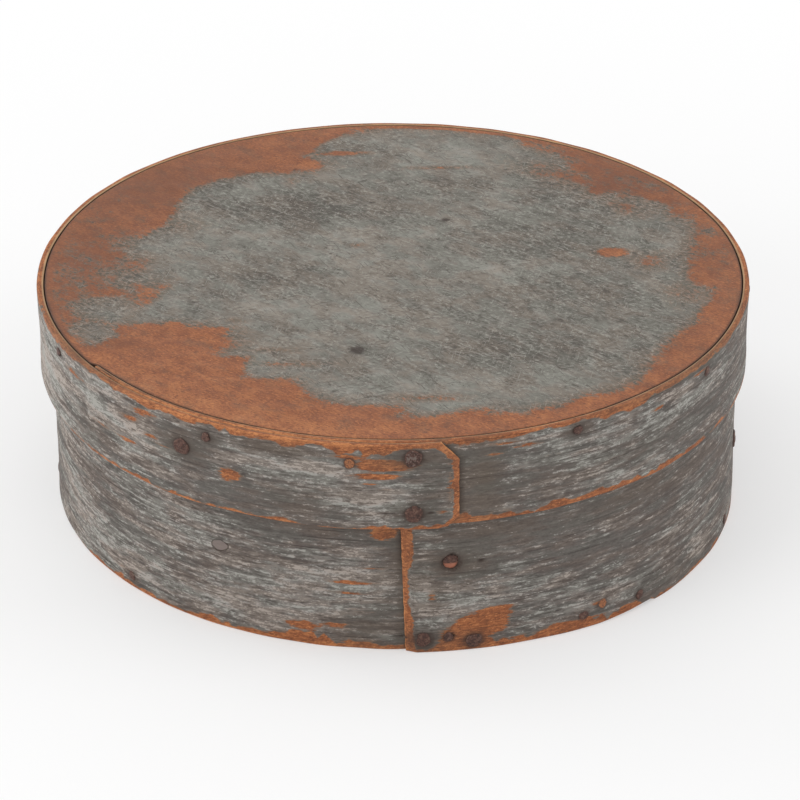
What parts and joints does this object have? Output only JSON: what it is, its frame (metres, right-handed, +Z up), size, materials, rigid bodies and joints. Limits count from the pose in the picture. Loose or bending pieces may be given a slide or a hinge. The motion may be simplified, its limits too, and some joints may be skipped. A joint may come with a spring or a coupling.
{
  "type": "round bentwood box",
  "caption": "Round bentwood storage box with lapped and tacked sides, let-in boards and a deep lift-off lid.",
  "frame": {"origin": "middle of the box's underside, on the surface that it stands on", "axes": "+Z straight up through the lid; -Y faces the two lap seams; +X to the right of someone facing the seams"},
  "size_m": [0.2543, 0.2565, 0.0835],
  "materials": {
    "base_strip": "worn slate blue-grey paint over bent wood, rubbed through to orange-brown along the edges",
    "lid_strip": "worn slate blue-grey paint over bent wood, rubbed through along the rims and the lap's end",
    "lid_top": "thin grey paint over a flat board, worn to orange-brown wood round the edge",
    "boards": "bare aged wood inside and below",
    "pegs": "end grain of small turned pegs, cut off flush",
    "iron": "hand-made iron tacks and nails, rusted dark brown"
  },
  "bodies": {
    "base": {"base_band": "base_strip", "base_board": "boards", "base_rim_tacks": "iron", "base_rim_nails": "iron", "base_rim_peg": "pegs", "base_lap_tacks": "iron"},
    "lid": {"lid_band": "lid_strip", "lid_board": "lid_top", "lid_rim_tacks": "iron", "lid_rim_nails": "iron", "lid_rim_peg": "pegs", "lid_lap_tacks": "iron"}
  },
  "joints": [
    {"name": "lid_lift", "type": "slide", "parent": "base", "child": "lid", "axis": [0, 0, 1], "range_m": [0, 0.08]}
  ]
}
